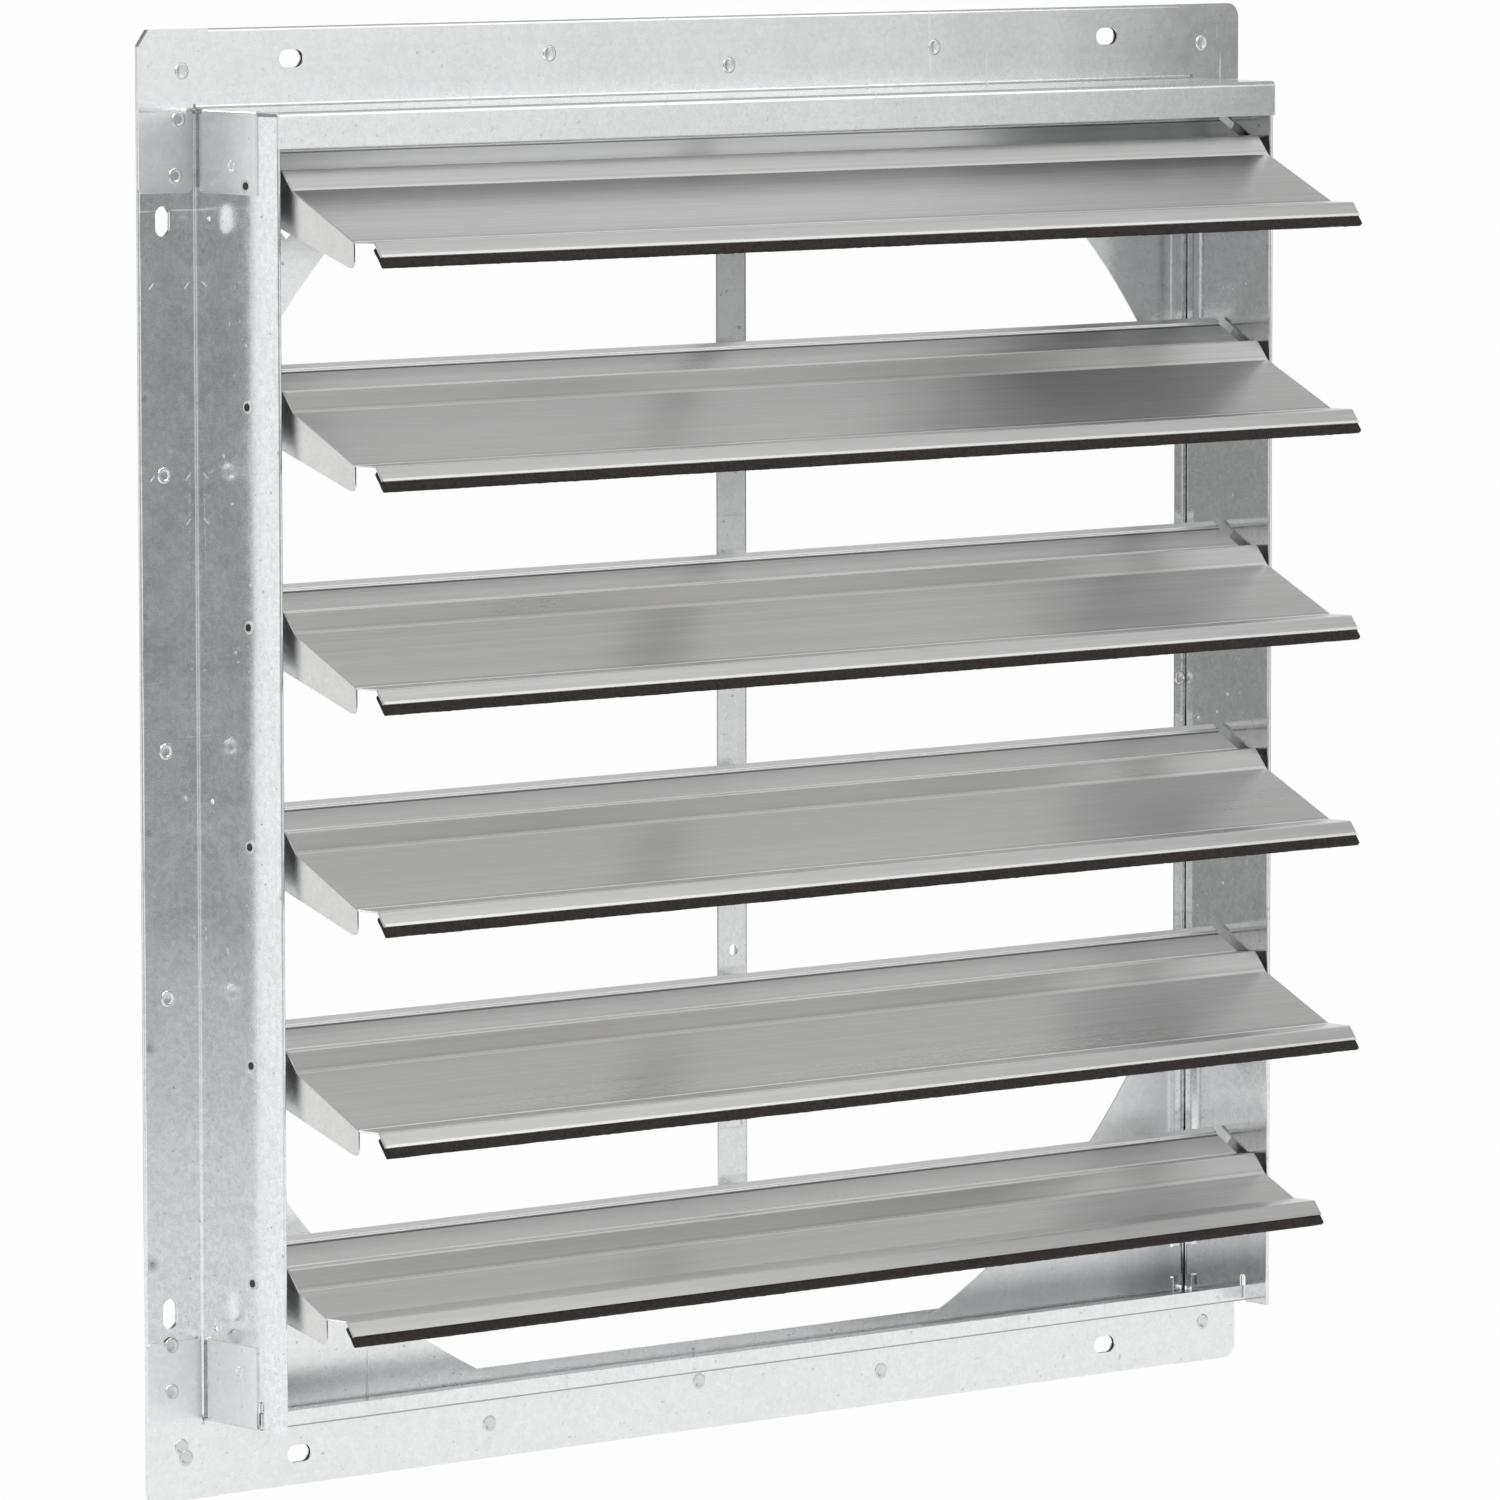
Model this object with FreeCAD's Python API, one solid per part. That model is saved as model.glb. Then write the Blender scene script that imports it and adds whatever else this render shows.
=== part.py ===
import FreeCAD, Part
import math
import os

# Exhaust fan shutter: a square folded sheet frame with six balanced blades on one tie bar.
# The back of the flange lies on y = 0, the shutter looks towards -Y, and +Z is up.
# Sizes are in millimetres, angles in degrees.

# Frame
BODY_WIDTH = 624.0
BODY_HEIGHT = 616.0
BODY_DEPTH = 65.5
FLANGE_SIDE = 33.0
FLANGE_END = 37.0
SHEET = 0.9
FOLD_GAP = 0.4
BEND = 1.5
INNER_LIP = 7.0
TOP_LIP = 17.0
SILL_DEPTH = 48.0
SILL_LIP = 8.0
RETURN_EDGE = 20.0
SLIT_WIDTH = 4.0
SLIT_HEIGHT = 14.0
CORNER_RADIUS = 7.0
CORNER_CUT_X = 6.0
CORNER_CUT_Z = 8.0
EDGE_GAP = 0.1

# Ears and tabs with which the top and bottom rails hold the side rails
EAR_SLOT_GAP = 5.9
EAR_SETBACK = 2.0
EAR_RADIUS = 3.0
TAB_LENGTH = 39.0
TAB_BEND = 0.6
TOP_TAB_FROM = 9.0
TOP_TAB_PAST_PIVOT = 8.1
SILL_TAB_FROM = 7.0
SILL_TAB_SETBACK = 3.0

# Fixing slots in the flange
SLOT_WIDTH = 8.4
SLOT_LENGTH = 14.2
SLOT_FROM_CORNER = 89.0
SLOT_INSET = 15.0
SLOT_INSET_SIDE = 14.0

# Small pilot holes in the side webs
PILOT_RADIUS = 1.4
PILOT_DEPTH = 12.6
PILOT_TOP_DROP = 51.0
PILOT_MIDDLE_Z = -15.0
PILOT_SILL_RISE = 44.4

# Corner gussets that leave a round opening
OPENING_BEYOND_EDGE = 29.0
GUSSET_SIDE_GAP = 3.0
GUSSET_LAP = 5.0
GUSSET_LIP = 3.4
GUSSET_EAR_LAP = 4.0
GUSSET_UPPER_EAR_DROP = 8.0
GUSSET_UPPER_EAR_HEIGHT = 15.0
GUSSET_LOWER_EAR_HEIGHT = 9.0
GUSSET_LIP_CLEAR = 4.0
DIAMOND_SIDE = 7.0
DIAMOND_FROM_SIDE = 44.0
DIAMOND_BEYOND_OPENING = 24.25

# Blades. Each blade is drawn in its own frame with the pivot at (0, 0):
# u runs down the closed blade and w stands out from it.
BLADE_COUNT = 6
TOP_PIVOT_DROP = 34.8
SILL_PIVOT_RISE = 69.2
PIVOT_DEPTH = 41.9
REST_SLOPE = 25.3
BLADE_SHEET = 0.7
BLADE_BEND = 0.8
BLADE_END_GAP = 6.0
HEM_LEG = 4.0
HEM_GAP = 0.1
HEM_EDGE = (-20.0, 9.4)
REAR_CREASE = (2.2, 8.1)
RIDGE = (13.6, 14.8)
FRONT_CREASE = (24.7, 9.7)
PANEL_SHORT_OF_PITCH = 51.1
PANEL_SHORT_OF_SILL = 45.5
NOSE_LENGTH = 15.2
LIP_LENGTH = 8.1
NOSE_ANGLE = 26.5

# End plates that are folded down from a blade and carry its pins
END_PLATE_REAR = -12.0
END_PLATE_TIP = (5.6, -1.8)
END_PLATE_HEEL = (6.0, -12.4)
END_PLATE_BACK = (-8.0, -8.0)
END_PLATE_TOP = (-14.0, 0.0)
END_PLATE_RADIUS = 3.0
END_EASING = 0.7

# Felt strip behind the lip of a blade
FELT_THICKNESS = 3.0
FELT_START = 1.5
FELT_OVERHANG = 4.5

# Pivot pins and the plastic bushes in the side rails
PIN_RADIUS = 1.75
PIN_CLEARANCE = 0.05
PIN_HEAD_RADIUS = 3.5
PIN_HEAD_HEIGHT = 1.8
PIN_PROUD = 0.5
BUSH_RADIUS = 3.1
BUSH_COLLAR_RADIUS = 4.5
BUSH_PROUD = 0.5
BUSH_END_PLAY = 0.3

# Tie bar and the links that join it to the blades
BAR_WIDTH = 19.0
BAR_SHEET = 1.2
BAR_BEND = 0.8
BAR_AHEAD_OF_LINK = 5.4
BAR_BEHIND_LINK = 4.2
BAR_ABOVE = 5.0
BAR_BELOW = 6.0
BAR_HOLE_RADIUS = 2.75
BAR_HOLE_RISE = 128.8
LINK_BEHIND = 29.2
LINK_ABOVE = 2.0
LINK_END_RADIUS = 5.0
LINK_SHEET = 1.2
LINK_SIDE_GAP = 0.3
LINK_BASE_WIDTH = 14.2
LINK_BASE_FROM = 4.0
LINK_BASE_TO = 17.0
RIVET_RADIUS = 1.95
RIVET_CLEARANCE = 0.1
RIVET_HEAD_RADIUS = 3.2
RIVET_HEAD_HEIGHT = 1.2

HALF_SHEET = SHEET / 2
HALF_BODY_X = BODY_WIDTH / 2
HALF_BODY_Z = BODY_HEIGHT / 2
HALF_FLANGE_X = HALF_BODY_X + FLANGE_SIDE
HALF_FLANGE_Z = HALF_BODY_Z + FLANGE_END
FOLD_RISE = SHEET + FOLD_GAP
SIDE_FRONT = SHEET + FOLD_RISE
RAIL_FRONT = SIDE_FRONT + SHEET
RETURN_FACE = HALF_BODY_X - SHEET - FOLD_RISE
WEB_END = HALF_BODY_Z - SHEET - BEND - EDGE_GAP
EAR_LENGTH = SLOT_FROM_CORNER - SLOT_LENGTH / 2 - EAR_SLOT_GAP
GUSSET_SIDE = HALF_BODY_X - INNER_LIP - GUSSET_SIDE_GAP
GUSSET_TOP = HALF_BODY_Z - INNER_LIP + GUSSET_LAP
OPENING_RADIUS = max(GUSSET_SIDE, GUSSET_TOP) + OPENING_BEYOND_EDGE
BLADE_HALF = HALF_BODY_X - BLADE_END_GAP
BLADE_PITCH = (BODY_HEIGHT - TOP_PIVOT_DROP - SILL_PIVOT_RISE) / (BLADE_COUNT - 1)
LINK_Y = LINK_BEHIND - PIVOT_DEPTH
BAR_SIDE = BAR_WIDTH / 2
CUT_MARGIN = 1.0


def vector(x, y, z=0.0):
    return FreeCAD.Vector(x, y, z)


def left_of(direction):
    return vector(-direction.y, direction.x)


def joined(pieces):
    """One wire through a chain of two-point lines and three-point arcs."""
    edges = []
    for piece in pieces:
        if len(piece) == 3:
            edges.append(Part.Arc(*piece).toShape())
        elif piece[0].distanceToPoint(piece[1]) > 1e-6:
            edges.append(Part.LineSegment(*piece).toShape())
    return Part.Wire(edges)


def extruded(pieces, place, sweep):
    """Solid over a closed chain that is drawn flat and put in space by place."""
    in_space = []
    for piece in pieces:
        in_space.append([place(point.x, point.y) for point in piece])
    return Part.Face(joined(in_space)).extrude(sweep)


def bend_at(before, corner, after, radius):
    """Directions, turn, tangent points and centre of a bend of the given radius."""
    arriving = (corner - before).normalize()
    leaving = (after - corner).normalize()
    turn = math.atan2(arriving.x * leaving.y - arriving.y * leaving.x, arriving.dot(leaving))
    reach = radius * math.tan(abs(turn) / 2)
    start = corner - arriving * reach
    end = corner + leaving * reach
    sense = math.copysign(1, turn)
    centre = start + left_of(arriving) * (sense * radius)
    return arriving, leaving, sense, start, end, centre


def folded_sheet(path, radii, thickness, place, sweep):
    """A sheet bent along a centre line, with the centre-line radius of each of its bends."""
    points = [vector(a, b) for a, b in path]
    half = thickness / 2
    chains = {}
    for side in (1, -1):
        first = (points[1] - points[0]).normalize()
        here = points[0] + left_of(first) * (side * half)
        chain = []
        for before, corner, after, radius in zip(points, points[1:], points[2:], radii):
            arriving, leaving, sense, start, end, centre = bend_at(before, corner, after, radius)
            arc_start = start + left_of(arriving) * (side * half)
            arc_end = end + left_of(leaving) * (side * half)
            outwards = (corner - centre).normalize()
            middle = centre + outwards * (radius - side * sense * half)
            chain.append((here, arc_start))
            chain.append((arc_start, middle, arc_end))
            here = arc_end
        last = (points[-1] - points[-2]).normalize()
        chain.append((here, points[-1] + left_of(last) * (side * half)))
        chains[side] = chain
    back = [tuple(reversed(piece)) for piece in reversed(chains[-1])]
    end_cap = (chains[1][-1][-1], back[0][0])
    start_cap = (back[-1][-1], chains[1][0][0])
    return extruded(chains[1] + [end_cap] + back + [start_cap], place, sweep)


def plate(corners, place, sweep):
    """A flat plate from corners (a, b, radius); a radius of 0 leaves a corner sharp."""
    points = [vector(a, b) for a, b, _ in corners]
    count = len(points)
    pieces = []
    stops = []
    for i, (_, _, radius) in enumerate(corners):
        if radius == 0:
            stops.append((points[i], None, points[i]))
            continue
        before = points[i - 1]
        after = points[(i + 1) % count]
        _, _, _, start, end, centre = bend_at(before, points[i], after, radius)
        middle = centre + (points[i] - centre).normalize() * radius
        stops.append((start, middle, end))
    for i, (start, middle, end) in enumerate(stops):
        if middle is not None:
            pieces.append((start, middle, end))
        pieces.append((end, stops[(i + 1) % count][0]))
    return extruded(pieces, place, sweep)


def on_wall(y):
    """Drawing plane parallel to the wall, with a = x and b = z."""
    return lambda a, b: vector(a, y, b)


def across(x):
    """Drawing plane across the shutter, with a = y and b = z."""
    return lambda a, b: vector(x, a, b)


def level(z):
    """Horizontal drawing plane, with a = x and b = y."""
    return lambda a, b: vector(a, b, z)


def block(x0, x1, y0, y1, z0, z1):
    return Part.makeBox(x1 - x0, y1 - y0, z1 - z0, vector(x0, y0, z0))


def one_solid(shape):
    shape = shape.removeSplitter()
    assert len(shape.Solids) == 1, "the piece fell into %d solids" % len(shape.Solids)
    return shape.Solids[0]


def mirrored_x(shape):
    return shape.mirror(vector(0, 0, 0), vector(1, 0, 0))


def drill(radius, foot, direction, length):
    """Cutter for a round hole that runs past both faces of what it cuts."""
    start = foot - direction * CUT_MARGIN
    return Part.makeCylinder(radius, length + 2 * CUT_MARGIN, start, direction)


def through_flange(corners):
    """Cutter with a flat outline through all the sheets of the flange."""
    return plate(corners, on_wall(-RAIL_FRONT - CUT_MARGIN), vector(0, RAIL_FRONT + 2 * CUT_MARGIN, 0))


def slot_cutter(x, z, half_x, half_z):
    radius = SLOT_WIDTH / 2
    corners = [(x + a * half_x, z + b * half_z, radius) for a, b in ((1, 1), (-1, 1), (-1, -1), (1, -1))]
    return through_flange(corners)


def flange_cutters():
    """The eight slots and what the four corners of the flange lose."""
    cutters = []
    top_z = HALF_FLANGE_Z - SLOT_INSET
    side_x = HALF_FLANGE_X - SLOT_INSET_SIDE
    along_x = HALF_FLANGE_X - SLOT_FROM_CORNER
    along_z = HALF_FLANGE_Z - SLOT_FROM_CORNER
    for right in (1, -1):
        for up in (1, -1):
            cutters.append(slot_cutter(right * along_x, up * top_z, SLOT_LENGTH / 2, SLOT_WIDTH / 2))
            cutters.append(slot_cutter(right * side_x, up * along_z, SLOT_WIDTH / 2, SLOT_LENGTH / 2))
            corner_x = right * HALF_FLANGE_X
            corner_z = up * HALF_FLANGE_Z
            if right < 0 < up:
                corners = [
                    (corner_x - CUT_MARGIN, corner_z + CUT_MARGIN, 0),
                    (corner_x - CUT_MARGIN, corner_z - CORNER_CUT_Z, 0),
                    (corner_x, corner_z - CORNER_CUT_Z, 0),
                    (corner_x + CORNER_CUT_X, corner_z, 0),
                    (corner_x + CORNER_CUT_X, corner_z + CUT_MARGIN, 0),
                ]
                cutters.append(through_flange(corners))
                continue
            centre = vector(corner_x - right * CORNER_RADIUS, 0, corner_z - up * CORNER_RADIUS)
            far_x = corner_x + right * CUT_MARGIN
            far_z = corner_z + up * CUT_MARGIN
            square = through_flange(
                [(centre.x, centre.z, 0), (far_x, centre.z, 0), (far_x, far_z, 0), (centre.x, far_z, 0)]
            )
            cutters.append(square.cut(drill(CORNER_RADIUS, centre, vector(0, -1, 0), RAIL_FRONT)))
    return cutters


def pivot_heights():
    return [HALF_BODY_Z - TOP_PIVOT_DROP - BLADE_PITCH * i for i in range(BLADE_COUNT)]


def bush_cutters():
    """Holes for the bushes, through all that lies over each other at both sides."""
    cutters = []
    outer = HALF_BODY_X + SHEET
    for z in pivot_heights():
        foot = vector(RETURN_FACE, -PIVOT_DEPTH, z)
        hole = drill(BUSH_RADIUS, foot, vector(1, 0, 0), outer - RETURN_FACE)
        cutters.append(hole)
        cutters.append(mirrored_x(hole))
    return cutters


def rail_profile(depth, lip, up):
    """Centre line of the top (up = 1) or bottom (up = -1) rail from rear lip to front lip."""
    web = HALF_BODY_Z - HALF_SHEET
    rear = -HALF_SHEET
    front = HALF_SHEET - RAIL_FRONT
    nose = HALF_SHEET - depth
    path = [
        (rear, HALF_BODY_Z - INNER_LIP),
        (rear, HALF_FLANGE_Z - HALF_SHEET),
        (front, HALF_FLANGE_Z - HALF_SHEET),
        (front, web),
        (nose, web),
        (nose, HALF_BODY_Z - lip),
    ]
    fold = (rear - front) / 2
    bend = BEND + HALF_SHEET
    return [(y, up * z) for y, z in path], [fold, fold, bend, bend]


def cross_rail(depth, lip, up, tab_from, tab_to):
    """Top or bottom rail: hemmed flange, web and front lip, with ears and tabs at both ends."""
    path, radii = rail_profile(depth, lip, up)
    middle = HALF_BODY_X - INNER_LIP - FOLD_GAP
    rail = folded_sheet(path, radii, SHEET, across(-middle), vector(2 * middle, 0, 0))
    plain_path = [(path[2][0], up * HALF_FLANGE_Z)] + path[3:]
    web = up * (HALF_BODY_Z - HALF_SHEET)
    tab_x = HALF_BODY_X + HALF_SHEET
    tab_path = [(middle, web), (tab_x, web), (tab_x, up * (HALF_BODY_Z - TAB_LENGTH))]
    end = folded_sheet(plain_path, radii[2:], SHEET, across(middle), vector(HALF_BODY_X - middle, 0, 0))
    tab = folded_sheet(
        tab_path, [TAB_BEND + HALF_SHEET], SHEET, on_wall(-tab_to), vector(0, tab_to - tab_from, 0)
    )
    ear = plate(
        [
            (HALF_BODY_X, up * HALF_FLANGE_Z, 0),
            (HALF_FLANGE_X, up * HALF_FLANGE_Z, 0),
            (HALF_FLANGE_X, up * (HALF_FLANGE_Z - EAR_LENGTH), EAR_RADIUS),
            (HALF_BODY_X + EAR_SETBACK, up * (HALF_FLANGE_Z - EAR_LENGTH), EAR_RADIUS),
            (HALF_BODY_X + EAR_SETBACK, up * (HALF_BODY_Z + EAR_SETBACK), 0),
            (HALF_BODY_X, up * (HALF_BODY_Z + EAR_SETBACK), 0),
        ],
        on_wall(-RAIL_FRONT),
        vector(0, SHEET, 0),
    )
    right_end = [end, tab, ear]
    rail = rail.fuse(right_end + [mirrored_x(piece) for piece in right_end])
    return one_solid(rail.cut(flange_cutters() + bush_cutters()))


def right_side_rail():
    """Side rail without its slots and bush holes: hemmed flange, web and the inner return."""
    rear = -HALF_SHEET
    front = rear - FOLD_RISE
    web = HALF_BODY_X - HALF_SHEET
    nose = HALF_SHEET - BODY_DEPTH
    path = [
        (HALF_BODY_X - INNER_LIP, rear),
        (HALF_FLANGE_X - HALF_SHEET, rear),
        (HALF_FLANGE_X - HALF_SHEET, front),
        (web, front),
        (web, nose),
        (web - FOLD_RISE, nose),
        (web - FOLD_RISE, -RETURN_EDGE),
    ]
    fold = FOLD_RISE / 2
    radii = [fold, fold, BEND + HALF_SHEET, fold, fold]
    rail = folded_sheet(path, radii, SHEET, level(-HALF_FLANGE_Z), vector(0, 0, 2 * HALF_FLANGE_Z))
    inner = RETURN_FACE - CUT_MARGIN
    outer = HALF_BODY_X + CUT_MARGIN
    below = -HALF_FLANGE_Z - CUT_MARGIN
    beyond = -BODY_DEPTH - CUT_MARGIN
    slit_front = SILL_DEPTH - HALF_SHEET + SLIT_WIDTH / 2
    slit_back = slit_front - SLIT_WIDTH
    slit_top = SLIT_HEIGHT - HALF_BODY_Z
    round_end = SLIT_WIDTH / 2
    slit = plate(
        [
            (-slit_front, below, 0),
            (-slit_back, below, 0),
            (-slit_back, slit_top, round_end),
            (-slit_front, slit_top, round_end),
        ],
        across(inner),
        vector(outer - inner, 0, 0),
    )
    cutters = [
        block(inner, outer, beyond, -SIDE_FRONT, WEB_END, HALF_FLANGE_Z + CUT_MARGIN),
        block(inner, outer, -slit_front, -SIDE_FRONT, below, -WEB_END),
        block(inner, outer, beyond, -slit_back, below, -HALF_BODY_Z),
        slit,
    ]
    for z in (HALF_BODY_Z - PILOT_TOP_DROP, PILOT_MIDDLE_Z, PILOT_SILL_RISE - HALF_BODY_Z):
        foot = vector(HALF_BODY_X - SHEET, -PILOT_DEPTH, z)
        cutters.append(drill(PILOT_RADIUS, foot, vector(1, 0, 0), SHEET))
    return rail.cut(cutters)


def right_top_gusset():
    """Corner plate: its inner edge is an arc of the round opening, its side edge is bent forward."""
    top = GUSSET_TOP
    side = GUSSET_SIDE
    foot_z = math.sqrt(OPENING_RADIUS ** 2 - side ** 2)
    foot_x = math.sqrt(OPENING_RADIUS ** 2 - top ** 2)
    middle = vector(foot_x + side, top + foot_z).normalize() * OPENING_RADIUS
    outline = [
        (vector(side, foot_z), vector(side, top)),
        (vector(side, top), vector(foot_x, top)),
        (vector(foot_x, top), middle, vector(side, foot_z)),
    ]
    front = -2 * SHEET
    gusset = extruded(outline, on_wall(front), vector(0, SHEET, 0))
    ear_end = HALF_BODY_X - INNER_LIP + GUSSET_EAR_LAP
    ears = []
    lower_ear = (foot_z, foot_z + GUSSET_LOWER_EAR_HEIGHT)
    upper_end = HALF_BODY_Z - GUSSET_UPPER_EAR_DROP
    upper_ear = (upper_end - GUSSET_UPPER_EAR_HEIGHT, upper_end)
    for low, high in (lower_ear, upper_ear):
        ears.append(block(side - SHEET, ear_end, front, -SHEET, low, high))
    lip_path = [(side - GUSSET_LIP, front + HALF_SHEET), (side - HALF_SHEET, front + HALF_SHEET)]
    lip_path.append((side - HALF_SHEET, front - GUSSET_LIP))
    lip_low = lower_ear[1] + GUSSET_LIP_CLEAR
    lip_high = upper_ear[0] - GUSSET_LIP_CLEAR
    lip = folded_sheet(
        lip_path, [BEND / 2 + HALF_SHEET], SHEET, level(lip_low), vector(0, 0, lip_high - lip_low)
    )
    bend_room = block(
        side - BEND / 2 - SHEET, side + CUT_MARGIN, front - CUT_MARGIN, CUT_MARGIN - SHEET, lip_low, lip_high
    )
    half = DIAMOND_SIDE / math.sqrt(2)
    diamond_x = side - DIAMOND_FROM_SIDE
    diamond_z = math.sqrt((OPENING_RADIUS + DIAMOND_BEYOND_OPENING) ** 2 - diamond_x ** 2)
    diamond = plate(
        [
            (diamond_x + half, diamond_z, 0),
            (diamond_x, diamond_z + half, 0),
            (diamond_x - half, diamond_z, 0),
            (diamond_x, diamond_z - half, 0),
        ],
        on_wall(front - CUT_MARGIN),
        vector(0, SHEET + 2 * CUT_MARGIN, 0),
    )
    gusset = gusset.cut([diamond, bend_room])
    return one_solid(gusset.fuse(ears + [lip]))


def blade_place(x):
    """Drawing plane across a blade at rest, with a = u and b = w, the pivot at z = 0."""
    cosine = math.cos(math.radians(REST_SLOPE))
    sine = math.sin(math.radians(REST_SLOPE))
    return lambda u, w: vector(x, -PIVOT_DEPTH - (u * cosine + w * sine), w * cosine - u * sine)


def blade_points(panel_length):
    """Creases of a blade from the hem to the edge of its lip."""
    angle = math.radians(NOSE_ANGLE)
    front = (FRONT_CREASE[0] + panel_length, FRONT_CREASE[1])
    nose = (front[0] + NOSE_LENGTH * math.cos(angle), front[1] + NOSE_LENGTH * math.sin(angle))
    edge = (nose[0] + LIP_LENGTH * math.cos(angle), nose[1] - LIP_LENGTH * math.sin(angle))
    return [HEM_EDGE, REAR_CREASE, RIDGE, FRONT_CREASE, front, nose, edge]


def rear_panel_point(along, above):
    """Point on the rear panel, along it from the rear crease and above its middle line."""
    crease = vector(*REAR_CREASE)
    direction = (vector(*HEM_EDGE) - crease).normalize()
    point = crease + direction * along - left_of(direction) * above
    return point.x, point.y


def blade(panel_length):
    """One folded blade with its hem and its two end plates, pierced for the pins."""
    points = blade_points(panel_length)
    hem_fold = (BLADE_SHEET + HEM_GAP) / 2
    rear_length = (vector(*HEM_EDGE) - vector(*REAR_CREASE)).Length
    hem = [rear_panel_point(rear_length - HEM_LEG, 2 * hem_fold), rear_panel_point(rear_length, 2 * hem_fold)]
    crease = BLADE_BEND + BLADE_SHEET / 2
    radii = [hem_fold, hem_fold] + [crease] * (len(points) - 2)
    width = vector(2 * BLADE_HALF, 0, 0)
    sheet = folded_sheet(hem + points, radii, BLADE_SHEET, blade_place(-BLADE_HALF), width)
    front = points[4]
    rear = rear_panel_point((REAR_CREASE[0] - END_PLATE_REAR), 0)
    corners = [
        (rear[0], rear[1], 0),
        (REAR_CREASE[0], REAR_CREASE[1], 0),
        (RIDGE[0], RIDGE[1], BLADE_SHEET),
        (FRONT_CREASE[0], FRONT_CREASE[1], 0),
        (front[0], front[1], 0),
        (front[0] + END_PLATE_TIP[0], END_PLATE_TIP[1], END_PLATE_RADIUS),
        (END_PLATE_HEEL[0], END_PLATE_HEEL[1], END_PLATE_RADIUS),
        (END_PLATE_BACK[0], END_PLATE_BACK[1], 0),
        (END_PLATE_TOP[0], END_PLATE_TOP[1], 0),
    ]
    ends = []
    for x in (BLADE_HALF - BLADE_SHEET, -BLADE_HALF):
        end = plate(corners, blade_place(x), vector(BLADE_SHEET, 0, 0))
        foot = vector(x, -PIVOT_DEPTH, 0)
        ends.append(end.cut(drill(PIN_RADIUS + PIN_CLEARANCE, foot, vector(1, 0, 0), BLADE_SHEET)))
    return eased_ends(one_solid(sheet.fuse(ends)), points)


def eased_ends(shape, points):
    """Eases the outer bend between the panels of a blade and its end plates."""
    panels = [(points[1], points[2]), (points[2], points[3]), (points[3], points[4])]
    edges = []
    for x in (BLADE_HALF, -BLADE_HALF):
        place = blade_place(x)
        for start, end in panels:
            along = (vector(*end) - vector(*start)).normalize()
            above = left_of(along) * (BLADE_SHEET / 2)
            middle = (vector(*start) + vector(*end)) * 0.5 + above
            target = Part.Vertex(place(middle.x, middle.y))
            edges.append(min(shape.Edges, key=lambda edge: edge.distToShape(target)[0]))
    return shape.makeChamfer(BLADE_SHEET * END_EASING, edges)


def felt_seal(panel_length):
    """Felt strip glued to the inside of a blade's lip and reaching past it."""
    points = blade_points(panel_length)
    nose = vector(*points[5])
    along = (vector(*points[6]) - nose).normalize()
    inwards = left_of(along) * -1
    near = inwards * (BLADE_SHEET / 2)
    far = inwards * (BLADE_SHEET / 2 + FELT_THICKNESS)
    start = nose + along * FELT_START
    end = nose + along * (LIP_LENGTH + FELT_OVERHANG)
    corners = [(p.x, p.y, 0) for p in (start + near, end + near, end + far, start + far)]
    half = BLADE_HALF - BLADE_SHEET
    return plate(corners, blade_place(-half), vector(2 * half, 0, 0))


def pivot_pins():
    """The two headed pins of a blade, each with its head inside the end plate."""
    head_face = BLADE_HALF - BLADE_SHEET
    right = vector(1, 0, 0)
    tip = HALF_BODY_X + BUSH_PROUD + PIN_PROUD
    shank = Part.makeCylinder(PIN_RADIUS, tip - head_face, vector(head_face, -PIVOT_DEPTH, 0), right)
    head = Part.makeCylinder(
        PIN_HEAD_RADIUS, PIN_HEAD_HEIGHT, vector(head_face - PIN_HEAD_HEIGHT, -PIVOT_DEPTH, 0), right
    )
    pin = one_solid(shank.fuse(head))
    return Part.makeCompound([pin, mirrored_x(pin)])


def right_bush(z):
    """Collared bush: its barrel goes through the return and the web of the side rail."""
    right = vector(1, 0, 0)
    inner = BLADE_HALF + BUSH_END_PLAY
    outer = HALF_BODY_X + BUSH_PROUD
    barrel = Part.makeCylinder(BUSH_RADIUS, outer - RETURN_FACE, vector(RETURN_FACE, -PIVOT_DEPTH, z), right)
    collar = Part.makeCylinder(BUSH_COLLAR_RADIUS, RETURN_FACE - inner, vector(inner, -PIVOT_DEPTH, z), right)
    bore = drill(PIN_RADIUS + PIN_CLEARANCE, vector(inner, -PIVOT_DEPTH, z), right, outer - inner)
    return one_solid(barrel.fuse(collar).cut(bore))


def link_bracket():
    """Bent bracket under the rear panel of a blade, with an ear that reaches the tie bar."""
    ear_x = BAR_SIDE + LINK_SIDE_GAP
    under = -BLADE_SHEET / 2
    below = under - LINK_SHEET
    base_corners = [
        rear_panel_point(LINK_BASE_FROM, under),
        rear_panel_point(LINK_BASE_TO, under),
        rear_panel_point(LINK_BASE_TO, below),
        rear_panel_point(LINK_BASE_FROM, below),
    ]
    base = plate([(u, w, 0) for u, w in base_corners], blade_place(ear_x), vector(LINK_BASE_WIDTH, 0, 0))
    place = blade_place(ear_x)
    link = vector(ear_x, LINK_Y, LINK_ABOVE)
    near = place(*base_corners[0])
    back = place(*base_corners[1])
    towards = link - (near + back) * 0.5
    across_ear = vector(0, -towards.z, towards.y).normalize() * LINK_END_RADIUS
    if across_ear.dot(back - near) < 0:
        across_ear = across_ear * -1
    ear_points = [near, back, link + across_ear, link - across_ear]
    ear = plate([(p.y, p.z, 0) for p in ear_points], across(ear_x), vector(LINK_SHEET, 0, 0))
    right = vector(1, 0, 0)
    end = Part.makeCylinder(LINK_END_RADIUS, LINK_SHEET, link, right)
    return one_solid(base.fuse([ear, end]).cut(drill(RIVET_RADIUS, link, right, LINK_SHEET)))


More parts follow.
